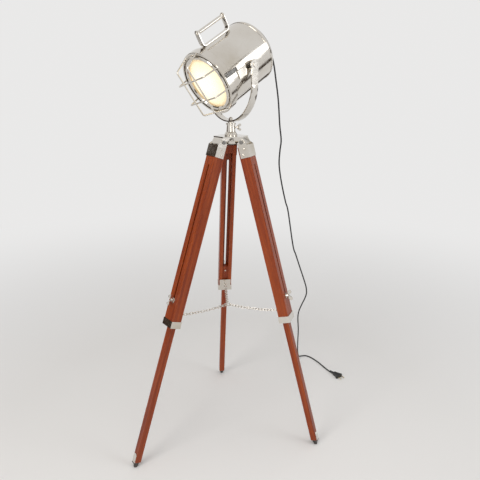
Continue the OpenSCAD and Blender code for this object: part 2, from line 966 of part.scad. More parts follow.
// The lens: a spherical cap of even thickness with a flat flange
module lens() {
    face = lens_rim + lens_flange[1];
    sphere_radius = (pow(lens_radius, 2) + pow(lens_rise, 2)) / (2 * lens_rise);
    edge = asin(lens_radius / sphere_radius);
    inner = sphere_radius - lens_thickness;
    inner_face = face - lens_thickness;
    steps = 10;
    color(frosted)
        head_frame()
            turned()
                polygon(concat(
                    [[0, face + lens_rise]],
                    [for (i = [1:steps]) let (a = edge * i / steps)
                        [sphere_radius * sin(a), face + lens_rise - sphere_radius * (1 - cos(a))]],
                    [[lens_radius + lens_flange[0], face], [lens_radius + lens_flange[0], lens_rim],
                     [lens_radius + 1, lens_rim]],
                    [for (i = [steps:-1:0]) let (a = edge * i / steps)
                        [inner * sin(a), inner_face + lens_rise - inner * (1 - cos(a))]]
                ));
}

module lens_retainer() {
    seat = lens_rim + lens_flange[1];
    bore = lens_radius + touch_gap;
    step = bore + lens_flange[0];
    outside = lens_radius + 12;
    color(nickel)
        head_frame()
            turned()
                polygon([
                    [bore, seat], [step, seat], [step, lens_rim], [outside, lens_rim],
                    [outside, seat + 7], [outside - 2, seat + 9], [bore + 2.7, seat + 9], [bore, seat + 6]
                ]);
}

// One guard wire: a straight run across the lens with two legs back to the bezel lip
module guard_wire_loop(offset, reach) {
    foot = sqrt(pow(lip_middle, 2) - pow(offset, 2));
    leg = [foot - guard_half, reach - bezel_front];
    turn = atan2(leg[1], leg[0]);
    cut = guard_bend * tan(turn / 2);
    overlap = 0.4;
    bend_shrink = 0.04;
    translate([offset, -reach, 0]) {
        cylinder(h = 2 * (guard_half - cut + overlap), d = guard_wire, center = true, $fn = 24);
        for (side = [0, 1])
            mirror([0, 0, side]) {
                translate([0, guard_bend, guard_half - cut])
                    rotate([90, 0, -90])
                        rotate_extrude(angle = turn, $fn = 48)
                            translate([guard_bend, 0])
                                circle(d = guard_wire - bend_shrink, $fn = 24);
                translate([0, 0, guard_half])
                    rotate([-turn, 0, 0])
                        translate([0, 0, cut - overlap])
                            cylinder(h = norm(leg) - cut + guard_wire, d = guard_wire, $fn = 24);
            }
    }
}

module wire_guard() {
    weld_bite = 0.6;
    color(nickel)
        head_frame()
            door_frame()
                difference() {
                    union() {
                        for (side = [-1, 1])
                            guard_wire_loop(side * guard_offset, guard_reach);
                        rotate([0, 90, 0])
                            for (side = [-1, 1])
                                guard_wire_loop(side * guard_offset, guard_reach - guard_wire + weld_bite);
                    }
                    translate([-2 * drum_radius, -bezel_front, -2 * drum_radius])
                        cube(4 * drum_radius);
                }
}

// ---------- Legs ----------

module upper_leg(leg) {
    color(stained_wood)
        leg_frame(leg)
            difference() {
                translate([-channel_width / 2, outer_face, -channel_end])
                    cube([channel_width, channel_depth, channel_end - channel_top]);
                translate([-channel_inside / 2, web_inside, -channel_end - past])
                    cube([channel_inside, channel_depth, channel_end - channel_top - channel_head + past]);
                translate([0, outer_face - past, 0]) {
                    translate([-slot_width / 2, 0, -slot_end])
                        cube([slot_width, channel_web + 2 * past, slot_end - slot_start]);
                    for (end = [slot_start, slot_end])
                        translate([0, 0, -end])
                            rotate([-90, 0, 0])
                                cylinder(h = channel_web + 2 * past, d = slot_width, $fn = 32);
                }
            }
}

// The sheet bracket: two cheeks with the eyes of the hinge pin, joined round the wood
module leg_bracket(leg) {
    cover = bracket_end - channel_top;
    wrap = channel_depth + bracket_sheet - bracket_lip;
    outside = outer_face - bracket_sheet;
    color(nickel)
        leg_frame(leg)
            difference() {
                union() {
                    for (side = [-1, 1])
                        translate([side * (cheek_outer - bracket_sheet / 2), 0, 0])
                            rotate([90, 0, 90])
                                linear_extrude(bracket_sheet, center = true)
                                    union() {
                                        circle(cheek_radius);
                                        polygon([
                                            [outside, -bracket_end], [outside, bracket_sheet - channel_top],
                                            [-cheek_radius, cheek_top], [outside + wrap, cheek_top],
                                            [outside + wrap, -bracket_end]
                                        ]);
                                    }
                    translate([-cheek_outer, outside, -bracket_end])
                        cube([2 * cheek_outer, wrap, cover + bracket_sheet]);
                }
                translate([-channel_width / 2, outer_face, -bracket_end - past])
                    cube([channel_width, channel_depth, cover + past]);
                rotate([0, 90, 0])
                    cylinder(h = 2 * cheek_outer + 2 * past, r = hinge_pin_d / 2 + seat_gap, center = true);
            }
}

module bracket_screws(leg) {
    dome = [8, 2];
    dome_radius = 5.8;
    color(dark_metal)
        leg_frame(leg)
            for (side = [-1, 1])
                for (place = [[-5, -channel_top - 10], [4, 10 - bracket_end]])
                    translate([side * (channel_width / 2 + bracket_sheet), place[0], place[1]])
                        rotate([0, side * 90, 0])
                            intersection() {
                                cylinder(h = dome[1], d = dome[0], $fn = 32);
                                translate([0, 0, -dome[0] / 2])
                                    sphere(r = dome_radius, $fn = 32);
                            }
}

// The band round the end of the channel, with a tab across its open side for the chain hook
module band(leg) {
    side = channel_width / 2 + band_wall;
    color(nickel)
        leg_frame(leg)
            difference() {
                union() {
                    translate([-side, outer_face - band_wall, -channel_end])
                        cube([2 * side, channel_depth + 2 * band_wall, band_height]);
                    translate([-tab_width / 2, inner_face, -channel_end])
                        cube([tab_width, band_wall, channel_end - tab_top]);
                    translate([0, hook_out, -hook_drop])
                        rotate([0, 90, 0])
                            rotate_extrude($fn = 48)
                                translate([hook_radius, 0])
                                    circle(d = ring_wire, $fn = 24);
                }
                translate([-channel_width / 2, outer_face, -channel_end - past])
                    cube([channel_width, channel_depth, channel_end]);
            }
}

module lower_leg(leg) {
    length = leg_length(leg) - foot_length;
    color(stained_wood)
        leg_frame(leg)
            difference() {
                translate([-slider_width / 2, slider_outer, -length])
                    cube([slider_width, slider_depth, length - slider_top]);
                translate([0, slider_outer - past, -wing_bolt_drop])
                    rotate([-90, 0, 0])
                        cylinder(h = slider_depth + 2 * past, d = wing_bolt_d, $fn = 32);
            }
}

// The steel foot: a plate up the outer side of the leg and a point cut flat on the floor
module foot(leg) {
    length = leg_length(leg);
    plate_round = foot_plate_width / 2;
    shoulder = 5;
    color(dark_metal)
        difference() {
            leg_frame(leg) {
                translate([0, slider_middle, -length - shoulder])
                    cylinder(h = foot_length + shoulder, r1 = foot_tip_radius, r2 = foot_top_radius);
                translate([0, slider_outer, -length + foot_length])
                    rotate([90, 0, 0])
                        linear_extrude(foot_plate)
                            union() {
                                translate([-plate_round, -shoulder])
                                    square([foot_plate_width, foot_plate_length + shoulder - plate_round]);
                                translate([0, foot_plate_length - plate_round])
                                    circle(plate_round, $fn = 40);
                            }
                translate([-plate_round, slider_outer - foot_plate, -length + foot_length - shoulder])
                    cube([foot_plate_width, foot_plate + foot_top_radius, shoulder]);
            }
            translate([-hinge_height, -hinge_height, -2 * foot_length])
                cube([2 * hinge_height, 2 * hinge_height, 2 * foot_length]);
        }
}

module wing_bolt(leg) {
    reach = channel_web + slider_depth + touch_gap;
    color(nickel)
        leg_frame(leg)
            translate([0, outer_face, -wing_bolt_drop])
                rotate([90, 0, 0]) {
                    translate([0, 0, -reach])
                        cylinder(h = reach + wing_washer, d = wing_bolt_d - 2 * seat_gap, $fn = 32);
                    translate([0, 0, touch_gap])
                        cylinder(h = wing_washer, d = 3 * wing_bolt_d, $fn = 40);
                    translate([0, 0, wing_washer + touch_gap])
                        rotate([0, 0, 90])
                            wing_head(wing_span, 14);
                }
}

// ---------- Chains ----------

hooks = [for (leg = [left_leg, right_leg, back_leg]) leg_point(leg, 0, hook_out, hook_drop)];

// Centre of the circle through three points, seen from above
function circle_centre(a, b, c) =
    let (d = 2 * (a[0] * (b[1] - c[1]) + b[0] * (c[1] - a[1]) + c[0] * (a[1] - b[1])),
         aa = a[0] * a[0] + a[1] * a[1], bb = b[0] * b[0] + b[1] * b[1], cc = c[0] * c[0] + c[1] * c[1])
    [(aa * (b[1] - c[1]) + bb * (c[1] - a[1]) + cc * (a[1] - b[1])) / d,
     (aa * (c[0] - b[0]) + bb * (a[0] - c[0]) + cc * (b[0] - a[0])) / d];

ring_place = circle_centre(hooks[0], hooks[1], hooks[2]);
ring_height = (hooks[0][2] + hooks[1][2] + hooks[2][2]) / 3 - ring_drop;
ring_centre = [ring_place[0] * ring_share, ring_place[1] * ring_share, ring_height];

// A link of the given outer length lying along Z, its width along Y
module chain_link(length) {
    bend = (link_width - chain_wire) / 2;
    straight = round((length - link_width) / link_rounding) * link_rounding;
    for (side = [-1, 1])
        translate([0, side * bend, 0])
            cylinder(h = straight, d = chain_wire, center = true, $fn = 16);
    for (end = [0, 180])
        rotate([end, 0, 0])
            translate([0, 0, straight / 2])
                rotate([90, 0, 90])
                    rotate_extrude(angle = 180, $fn = 32)
                        translate([bend, 0])
                            circle(d = chain_wire, $fn = 16);
}

// A strand from the centre ring to the hook of one leg, its links turned by quarters
module chain_strand(leg) {
    hook = leg_point(leg, 0, hook_out, hook_drop);
    flat = [hook[0] - ring_centre[0], hook[1] - ring_centre[1], 0];
    toward = flat / norm(flat);
    start = ring_centre + toward * (ring_radius - ring_hold);
    finish = hook - toward * (hook_radius - ring_hold);
    heading = atan2(toward[1], toward[0]);
    pitch = (norm(finish - start) - link_hold) / link_count;
    inset = (pitch + link_hold) / 2 / norm(finish - start);
    function along(t) = start + (finish - start) * t - [0, 0, chain_sag * 4 * t * (1 - t)];
    color(nickel)
        for (i = [0:link_count - 1]) {
            t = inset + (1 - 2 * inset) * i / (link_count - 1);
            slope = along(t + inset / 2) - along(t - inset / 2);
            lean = atan2(norm([slope[0], slope[1]]), slope[2]);
            translate(along(t))
                rotate([0, lean, heading])
                    rotate([0, 0, i % 2 == 0 ? 90 : 0])
                        chain_link(pitch + link_hold + chain_wire);
        }
}

module chain_ring() {
    color(nickel)
        translate(ring_centre)
            rotate_extrude($fn = 64)
                translate([ring_radius, 0])
                    circle(d = ring_wire, $fn = 24);
}

// ---------- Cord ----------

function on_curve(p, i, t) =
    let (a = p[max(i - 1, 0)], b = p[i], c = p[i + 1], d = p[min(i + 2, len(p) - 1)])
    0.5 * (2 * b + (c - a) * t + (2 * a - 5 * b + 4 * c - d) * t * t + (3 * b - 3 * c + d - a) * t * t * t);

function cord_route(p) = [
    for (i = [0:len(p) - 2])
        let (parts = max(1, round(norm(p[i + 1] - p[i]) / cord_step)))
            for (k = [0:parts - 1]) on_curve(p, i, k / parts),
    p[len(p) - 1]
];

function unit(v) = v / norm(v);

module swept_tube(route, radius, sides) {
    last = len(route) - 1;
    lean = [0.6, -0.3, 0.74];
    rings = [
        for (i = [0:last])
            let (ahead = unit(route[min(i + 1, last)] - route[max(i - 1, 0)]),
                 side = unit(cross(ahead, lean)),
                 up = cross(side, ahead))
            [for (k = [0:sides - 1])
                route[i] + radius * (side * cos(360 * k / sides) + up * sin(360 * k / sides))]
    ];
    walls = [
        for (i = [0:last - 1])
            for (k = [0:sides - 1])
                let (a = i * sides + k, b = i * sides + (k + 1) % sides)
                each [[a, b, b + sides], [a, b + sides, a + sides]]
    ];
    near_end = [for (k = [1:sides - 2]) [0, k + 1, k]];
    far_end = [for (k = [1:sides - 2]) [last * sides, last * sides + k, last * sides + k + 1]];
    polyhedron([for (ring = rings) each ring], concat(walls, near_end, far_end), convexity = 10);
}

module power_cord() {
    color(black_plastic)
        swept_tube(cord_route(cord_points), cord_d / 2, 8);
}

module plug_frame() {
    end = cord_points[len(cord_points) - 1];
    translate([end[0], end[1], 0])
        rotate([0, 0, plug_turn])
            children();
}

module plug() {
    relief = [12, 4.6];
    color(black_plastic)
        plug_frame() {
            translate([0, 0, 5])
                rotate([0, 90, 0])
                    cylinder(h = relief[0], r = relief[1], $fn = 32);
            translate([plug_start, 0, 0])
                linear_extrude(plug_height)
                    polygon([
                        [0, -6], [14, -9], [30, -plug_half_width], [plug_length, -plug_half_width],
                        [plug_length, plug_half_width], [30, plug_half_width], [14, 9], [0, 6]
                    ]);
        }
}

module plug_pins() {
    pin = [4, 19];
    spacing = 19;
    color(nickel)
        plug_frame()
            for (side = [-1, 1])
                translate([plug_start + plug_length, side * spacing / 2, plug_height / 2])
                    rotate([0, 90, 0])
                        cylinder(h = pin[1], d = pin[0], $fn = 32);
}

// ---------- Nodes ----------

hub_casting();
hub_bottom_plate();
leg_hinge_pins();
stem_socket();
stem_clamp_screw();
socket_bolt();
swivel_stem();
yoke();
yoke_nut();
tilt_bolts();
tilt_washers();
lamp_body();
trunnion_plates();
rear_cap();
reflector();
lamp_holder();
bulb();
handle_bracket();
handle_grip();
handle_screws();
cable_gland();
bezel_hinge();
bezel_hinge_pin();
clip_keeper();
spring_clip();
bezel();
lens();
lens_retainer();
wire_guard();
chain_ring();
leg_bracket(left_leg);  // left_bracket
leg_bracket(right_leg);  // right_bracket
leg_bracket(back_leg);  // back_bracket
upper_leg(left_leg);  // left_upper_leg
upper_leg(right_leg);  // right_upper_leg
upper_leg(back_leg);  // back_upper_leg
band(left_leg);  // left_band
band(right_leg);  // right_band
band(back_leg);  // back_band
lower_leg(left_leg);  // left_lower_leg
lower_leg(right_leg);  // right_lower_leg
lower_leg(back_leg);  // back_lower_leg
foot(left_leg);  // left_foot
foot(right_leg);  // right_foot
foot(back_leg);  // back_foot
wing_bolt(left_leg);  // left_wing_bolt
wing_bolt(right_leg);  // right_wing_bolt
wing_bolt(back_leg);  // back_wing_bolt
chain_strand(left_leg);  // left_chain
chain_strand(right_leg);  // right_chain
chain_strand(back_leg);  // back_chain
bracket_screws(left_leg);  // bracket_screws_left
bracket_screws(right_leg);  // bracket_screws_right
bracket_screws(back_leg);  // bracket_screws_back
power_cord();
plug();
plug_pins();
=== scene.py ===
"""Tripod spotlight floor lamp: the cord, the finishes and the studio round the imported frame."""
import json
from math import cos, pi, radians, sin

import bmesh
import bpy
from mathutils import Matrix, Vector


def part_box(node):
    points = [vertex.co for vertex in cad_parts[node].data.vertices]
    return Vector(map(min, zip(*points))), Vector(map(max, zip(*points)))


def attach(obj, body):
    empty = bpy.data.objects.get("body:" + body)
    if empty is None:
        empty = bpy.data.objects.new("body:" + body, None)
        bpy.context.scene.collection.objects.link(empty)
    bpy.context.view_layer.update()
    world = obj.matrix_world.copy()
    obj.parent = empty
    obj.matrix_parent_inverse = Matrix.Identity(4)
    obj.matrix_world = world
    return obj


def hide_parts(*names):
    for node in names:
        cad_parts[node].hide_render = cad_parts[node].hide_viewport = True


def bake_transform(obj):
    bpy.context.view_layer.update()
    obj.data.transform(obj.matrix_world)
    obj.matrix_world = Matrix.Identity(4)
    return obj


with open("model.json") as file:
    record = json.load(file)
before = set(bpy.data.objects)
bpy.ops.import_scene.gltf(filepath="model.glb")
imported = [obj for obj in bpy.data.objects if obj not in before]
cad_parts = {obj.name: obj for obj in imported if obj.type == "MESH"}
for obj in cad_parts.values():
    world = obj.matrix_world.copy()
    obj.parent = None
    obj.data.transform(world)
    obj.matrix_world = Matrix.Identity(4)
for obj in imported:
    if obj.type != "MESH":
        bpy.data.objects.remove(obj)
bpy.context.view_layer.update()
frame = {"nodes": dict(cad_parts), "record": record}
nodes = frame["nodes"]
scene = bpy.context.scene

MM = 0.001

# ---------------------------------------------------------------- camera

CAMERA_PLACE = (-0.206, -1.681, 1.281)
CAMERA_LENS = 37.5
CAMERA_PITCH = 17.3
CAMERA_TURN = -7.0
CAMERA_SHIFT = 9.1 / 480
CAMERA_SENSOR = 36


def place_camera():
    """The photograph's viewpoint: its lens, height and tilt are those that fit the legs and the drum."""
    data = bpy.data.cameras.new("camera")
    data.lens = CAMERA_LENS
    data.sensor_width = CAMERA_SENSOR
    data.shift_x = CAMERA_SHIFT
    camera = bpy.data.objects.new("camera", data)
    camera.location = CAMERA_PLACE
    camera.rotation_euler = (radians(90 - CAMERA_PITCH), 0, radians(CAMERA_TURN))
    scene.collection.objects.link(camera)
    scene.camera = camera


place_camera()

# ---------------------------------------------------------------- places on the lamp

TILT_AXIS = Vector((0, 0, 1.338))
HEAD_PAN = -57.0
HEAD_TILT = 30.4
HINGE_HEIGHT = 1.1
HINGE_RADIUS = 0.048
LEGS = {"left": (-60.0, 18.8), "right": (60.0, 15.2), "back": (180.0, 15.6)}

PAN_FRAME = Matrix.Translation(TILT_AXIS) @ Matrix.Rotation(radians(HEAD_PAN), 4, "Z")
HEAD_FRAME = PAN_FRAME @ Matrix.Rotation(radians(HEAD_TILT), 4, "X")


def leg_frame(leg):
    """The hinge pin at the origin, the leg along -Z and outward along -Y."""
    turn, spread = LEGS[leg]
    return (
        Matrix.Rotation(radians(turn), 4, "Z")
        @ Matrix.Translation((0, -HINGE_RADIUS, HINGE_HEIGHT))
        @ Matrix.Rotation(radians(-spread), 4, "X")
    )


# ---------------------------------------------------------------- cord

CORD_WIDTH = 5.5 * MM
CORD_STEP = 8 * MM
CORD_ROUNDNESS = 3
# The route from the gland to the plug, in metres
CORD_ROUTE = [
    (0.1197, 0.0777, 1.3754), (0.1342, 0.0868, 1.3838), (0.1471, 0.0957, 1.3807), (0.1559, 0.1016, 1.3646),
    (0.1627, 0.1025, 1.3385), (0.1685, 0.1023, 1.3034), (0.1804, 0.1042, 1.2292), (0.1902, 0.1131, 1.1421),
    (0.199, 0.122, 1.088), (0.197, 0.127, 1.052), (0.196, 0.132, 1.004), (0.205, 0.146, 0.955),
    (0.221, 0.164, 0.895), (0.237, 0.177, 0.841), (0.251, 0.191, 0.802), (0.281, 0.212, 0.655),
    (0.297, 0.220, 0.610), (0.319, 0.228, 0.550), (0.347, 0.240, 0.475), (0.357, 0.248, 0.440),
    (0.359, 0.263, 0.402), (0.338, 0.291, 0.311), (0.349, 0.320, 0.212), (0.360, 0.359, 0.114),
    (0.373, 0.398, 0.050), (0.387, 0.424, 0.014), (0.405, 0.444, 0.003), (0.435, 0.438, 0.003),
    (0.466, 0.386, 0.003), (0.495, 0.302, 0.003), (0.509, 0.276, 0.005),
]
# The point of the route where the two stretches meet
CORD_SPLIT = 8


def smooth_route(points, step):
    """Points a step apart on a smooth curve through the given ones."""
    places = [Vector(p) for p in points]
    route = []
    for i in range(len(places) - 1):
        before, a, b = places[max(i - 1, 0)], places[i], places[i + 1]
        after = places[min(i + 2, len(places) - 1)]
        count = max(2, round((b - a).length / step))
        for k in range(count):
            t = k / count
            route.append(0.5 * (
                2 * a + (b - before) * t + (2 * before - 5 * a + 4 * b - after) * t**2
                + (3 * a - 3 * b + after - before) * t**3
            ))
    return route + [places[-1]]


def route_length(route):
    """The sum of the straight steps of a route."""
    return sum((b - a).length for a, b in zip(route, route[1:]))


def tube(name, route, width):
    """A mesh tube along a route, with a ring at each of its points."""
    curve = bpy.data.curves.new(name, "CURVE")
    curve.dimensions = "3D"
    curve.bevel_depth = width / 2
    curve.bevel_resolution = CORD_ROUNDNESS
    curve.use_fill_caps = True
    spline = curve.splines.new("POLY")
    spline.points.add(len(route) - 1)
    for point, place in zip(spline.points, route):
        point.co = (*place, 1)
    shaper = bpy.data.objects.new(name + "_curve", curve)
    scene.collection.objects.link(shaper)
    bpy.context.view_layer.update()
    mesh = bpy.data.meshes.new_from_object(shaper.evaluated_get(bpy.context.evaluated_depsgraph_get()))
    bpy.data.objects.remove(shaper)
    mesh.name = name
    for face in mesh.polygons:
        face.use_smooth = True
    piece = bpy.data.objects.new(name, mesh)
    scene.collection.objects.link(piece)
    return piece


def lay_cord():
    """The lead in two stretches that meet beside the hub."""
    route = smooth_route(CORD_ROUTE, CORD_STEP)
    split = Vector(CORD_ROUTE[CORD_SPLIT])
    meeting = min(range(len(route)), key=lambda i: (route[i] - split).length)
    upper, lower = route[:meeting + 1], route[meeting:]
    head_lead = tube("head_lead", upper, CORD_WIDTH)
    floor_lead = tube("floor_lead", lower, CORD_WIDTH)
    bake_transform(head_lead)
    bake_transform(floor_lead)
    round(route_length(upper), 3)
    round(route_length(lower), 3)
    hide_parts("power_cord")
    return [head_lead, floor_lead]


cord_pieces = lay_cord()

# ---------------------------------------------------------------- finishes


class Value:
    """A number at a socket; arithmetic on it adds Math nodes to its material."""

    def __init__(self, finish, socket):
        self.finish = finish
        self.socket = socket

    def math(self, operation, *others):
        node = self.finish.node("ShaderNodeMath", {"operation": operation}, self, *others)
        return Value(self.finish, node.outputs[0])

    def __add__(self, other):
        return self.math("ADD", other)

    def __mul__(self, other):
        return self.math("MULTIPLY", other)

    def __sub__(self, other):
        return self.math("SUBTRACT", other)

    def __pow__(self, other):
        return self.math("POWER", other)

    def __rsub__(self, other):
        return self * -1 + other

    def clamp(self):
        return self.math("MAXIMUM", 0.0).math("MINIMUM", 1.0)


class Finish:
    """A material with one Principled shader, built up from nodes."""

    def __init__(self, name):
        self.material = bpy.data.materials.new(name)
        self.material.use_nodes = True
        self.tree = self.material.node_tree
        self.tree.nodes.clear()
        self.shader = self.tree.nodes.new("ShaderNodeBsdfPrincipled")
        self.output = self.tree.nodes.new("ShaderNodeOutputMaterial")
        self.tree.links.new(self.shader.outputs[0], self.output.inputs[0])

    def put(self, socket, value):
        """Links a socket or sets its number."""
        if isinstance(value, Value):
            self.tree.links.new(value.socket, socket)
        elif isinstance(value, bpy.types.NodeSocket):
            self.tree.links.new(value, socket)
        else:
            socket.default_value = value

    def node(self, kind, settings=None, *values, **named):
        """A new node with its settings, and values for its inputs in order or by name."""
        node = self.tree.nodes.new(kind)
        for name, setting in (settings or {}).items():
            if name == "stops":
                elements = node.color_ramp.elements
                elements.remove(elements[1])
                elements[0].position, elements[0].color = setting[0]
                for place, tint in setting[1:]:
                    elements.new(place).color = tint
            else:
                setattr(node, name, setting)
        for socket, value in zip(node.inputs, values):
            self.put(socket, value)
        for name, value in named.items():
            self.put(node.inputs[name.replace("_", " ")], value)
        return node

    def set(self, **values):
        """Links or sets the shader's own sockets."""
        for name, value in values.items():
            self.put(self.shader.inputs[name.replace("_", " ")], value)

    def place(self, turn=None, origin=(0, 0, 0)):
        """Object coordinates, moved and turned into a piece's own frame."""
        here = self.node("ShaderNodeTexCoord").outputs["Object"]
        if turn is None:
            return here
        moved = self.vector("SUBTRACT", here, origin)
        mapping = self.node("ShaderNodeMapping", {"vector_type": "POINT"}, moved, Rotation=turn)
        return mapping.outputs[0]

    def stretched(self, place, scale):
        return self.vector("MULTIPLY", place, scale)

    def vector(self, operation, *values, output=0):
        return self.node("ShaderNodeVectorMath", {"operation": operation}, *values).outputs[output]

    def noise(self, place, scale, detail, roughness):
        node = self.node("ShaderNodeTexNoise", None, Vector=place, Scale=scale, Detail=detail,
                         Roughness=roughness)
        return Value(self, node.outputs["Fac"])

    def ramp(self, value, stops):
        node = self.node("ShaderNodeValToRGB", {"stops": stops}, value)
        return node.outputs["Color"]

    def mix(self, factor, a, b):
        """Between two colours; the node's colour sockets are its inputs 6 and 7."""
        node = self.node("ShaderNodeMix", {"data_type": "RGBA"})
        self.put(node.inputs["Factor"], factor)
        self.put(node.inputs[6], a)
        self.put(node.inputs[7], b)
        return node.outputs[2]

    def bump(self, height, strength, distance):
        node = self.node("ShaderNodeBump", None, Height=height, Strength=strength, Distance=distance)
        return node.outputs[0]


def colour(red, green, blue):
    return (red, green, blue, 1.0)


def nickel_finish():
    """Polished nickel plate with wiping marks, fine scratches and a warm tarnish in patches."""
    finish = Finish("polished_nickel")
    here = finish.place()
    wiping = finish.noise(finish.stretched(here, (1, 1, 2.5)), 22, 5, 0.62)
    specks = finish.noise(here, 480, 3, 0.7)
    tarnish = finish.noise(here, 8, 4, 0.55)
    scratches = finish.noise(finish.stretched(here, (1400, 90, 260)), 1.0, 2, 0.5)
    scratched = ((scratches - 0.63) * 6).clamp()
    tint = finish.ramp(tarnish, [
        (0.34, colour(0.74, 0.71, 0.66)), (0.55, colour(0.67, 0.63, 0.57)), (0.74, colour(0.57, 0.52, 0.44)),
    ])
    finish.set(
        Base_Color=tint,
        Metallic=1.0,
        Roughness=(wiping ** 2 * 0.30 + specks * 0.06 + scratched * 0.10 + 0.015).clamp(),
        Normal=finish.bump(specks * 0.6 - scratched, 0.025, 0.0002),
    )
    return finish.material


def wood_finish(leg):
    """Red-brown stained hardwood with its grain along the leg and a satin lacquer."""
    turn, spread = LEGS[leg]
    finish = Finish(leg + "_stained_wood")
    upright = Matrix.Rotation(radians(spread), 3, "X") @ Matrix.Rotation(radians(-turn), 3, "Z")
    here = finish.place(turn=upright.to_euler("XYZ"), origin=leg_frame(leg).translation)
    drift = finish.noise(finish.stretched(here, (9, 9, 1.2)), 1.0, 3, 0.6)
    sway = finish.node("ShaderNodeTexNoise", None, Vector=finish.stretched(here, (14, 14, 2)), Scale=1.0,
                       Detail=2.0).outputs["Color"]
    bent = finish.vector("ADD", here, finish.stretched(sway, (0.012, 0.012, 0.0)))
    rings = finish.noise(finish.stretched(bent, (95, 95, 2.2)), 1.0, 4, 0.62)
    fibres = finish.noise(finish.stretched(bent, (620, 620, 9)), 1.0, 4, 0.7)
    pores = finish.noise(finish.stretched(bent, (1500, 1500, 34)), 1.0, 2, 0.5)
    pore_mask = ((pores - 0.58) * 7).clamp()
    tone = (rings * 0.85 + fibres * 0.4 + drift * 0.35 - 0.33).clamp()
    stain = finish.ramp(tone, [
        (0.12, colour(0.080, 0.010, 0.002)), (0.38, colour(0.230, 0.032, 0.005)),
        (0.62, colour(0.370, 0.068, 0.011)), (0.88, colour(0.520, 0.135, 0.026)),
    ])
    finish.set(
        Base_Color=finish.mix(pore_mask * 0.65, stain, colour(0.030, 0.006, 0.003)),
        Roughness=(fibres * 0.18 + pore_mask * 0.2 + 0.27).clamp(),
        Normal=finish.bump(rings * 0.4 + fibres * 0.5 - pore_mask, 0.22, 0.0004),
        Specular_IOR_Level=0.28,
        Coat_Roughness=0.2,
        Coat_Weight=0.12,
    )
    return finish.material


def steel_finish():
    """Dull dark steel of the screws, pins and feet."""
    finish = Finish("dark_steel")
    here = finish.place()
    stain = finish.noise(here, 60, 4, 0.6)
    grit = finish.noise(here, 900, 2, 0.6)
    finish.set(
        Base_Color=finish.ramp(stain, [(0.3, colour(0.13, 0.125, 0.12)), (0.72, colour(0.30, 0.29, 0.27))]),
        Metallic=1.0,
        Roughness=(stain * 0.25 + grit * 0.15 + 0.2).clamp(),
        Normal=finish.bump(grit, 0.12, 0.0002),
    )
    return finish.material


FOOT_LENGTH = 0.02
PLATE_OVERLAP = 0.0012
PLATE_SHARPNESS = 900


def foot_finish(leg):
    """Worn dark steel at the point of a foot, and a polished plate up the wood above it."""
    turn, spread = LEGS[leg]
    finish = Finish(leg + "_foot_steel")
    here = finish.place()
    spin, lean = radians(turn), radians(spread)
    down = Vector((sin(spin) * sin(lean), -cos(spin) * sin(lean), -cos(lean)))
    along = Value(finish, finish.vector("DOT_PRODUCT", here, down, output="Value"))
    end = down.dot(leg_frame(leg).translation) + HINGE_HEIGHT / cos(lean)
    plate = ((end - FOOT_LENGTH + PLATE_OVERLAP - along) * PLATE_SHARPNESS).clamp()
    stain = finish.noise(here, 70, 4, 0.6)
    grit = finish.noise(here, 800, 3, 0.6)
    worn = finish.ramp(stain, [(0.3, colour(0.045, 0.042, 0.040)), (0.7, colour(0.16, 0.15, 0.14))])
    finish.set(
        Base_Color=finish.mix(plate, worn, colour(0.74, 0.72, 0.68)),
        Metallic=1.0,
        Roughness=(plate * -0.22 + stain * 0.2 + grit * 0.12 + 0.26).clamp(),
        Normal=finish.bump(grit, 0.15, 0.0003),
    )
    return finish.material


def plastic_finish(name, shade, gloss):
    """Moulded plastic with a fine grain."""
    finish = Finish(name)
    grain = finish.noise(finish.place(), 1400, 2, 0.5)
    finish.set(
        Base_Color=colour(shade, shade, shade * 1.02),
        Roughness=(grain * 0.16 + gloss).clamp(),
        Normal=finish.bump(grain, 0.08, 0.0002),
    )
    return finish.material


LENS_PLANE = 0.1
LENS_GLOW_RADIUS = 0.08


def lens_finish():
    """Frosted glass, lit from behind: near white over the bulb and cream at the rim."""
    finish = Finish("lit_frosted_lens")
    centre = HEAD_FRAME @ Vector((0, -LENS_PLANE, 0))
    forward = (HEAD_FRAME.to_3x3() @ Vector((0, -1, 0))).normalized()
    away = finish.vector("SUBTRACT", finish.place(), centre)
    reach = finish.vector("DOT_PRODUCT", away, forward, output="Value")
    along = finish.node("ShaderNodeVectorMath", {"operation": "SCALE"}, forward, Scale=reach).outputs[0]
    across = finish.vector("SUBTRACT", away, along)
    radius = Value(finish, finish.vector("LENGTH", across, output="Value"))
    frost = finish.noise(finish.place(), 900, 2, 0.6)
    glow = finish.ramp(radius * (1 / LENS_GLOW_RADIUS), [
        (0.0, colour(1.0, 0.97, 0.88)), (0.5, colour(1.0, 0.93, 0.74)),
        (0.85, colour(0.93, 0.79, 0.50)), (1.0, colour(0.66, 0.47, 0.24)),
    ])
    finish.set(
        Base_Color=colour(0.55, 0.50, 0.40),
        Roughness=(frost * 0.2 + 0.3).clamp(),
        Emission_Color=glow,
        Emission_Strength=0.86,
        Normal=finish.bump(frost, 0.1, 0.0003),
    )
    return finish.material


def bulb_finish():
    """Opal glass, lit from inside."""
    finish = Finish("opal_bulb")
    frost = finish.noise(finish.place(), 300, 2, 0.5)
    finish.set(Base_Color=colour(0.9, 0.87, 0.8), Roughness=(frost * 0.1 + 0.2).clamp(),
               Emission_Color=colour(1.0, 0.86, 0.6), Emission_Strength=3.0)
    return finish.material


def reflector_finish():
    """Bright spun metal with a faint ripple."""
    finish = Finish("bright_reflector")
    ripple = finish.noise(finish.place(), 240, 3, 0.5)
    finish.set(Base_Color=colour(0.88, 0.88, 0.87), Metallic=1.0, Roughness=(ripple * 0.2 + 0.08).clamp(),
               Normal=finish.bump(ripple, 0.2, 0.0005))
    return finish.material


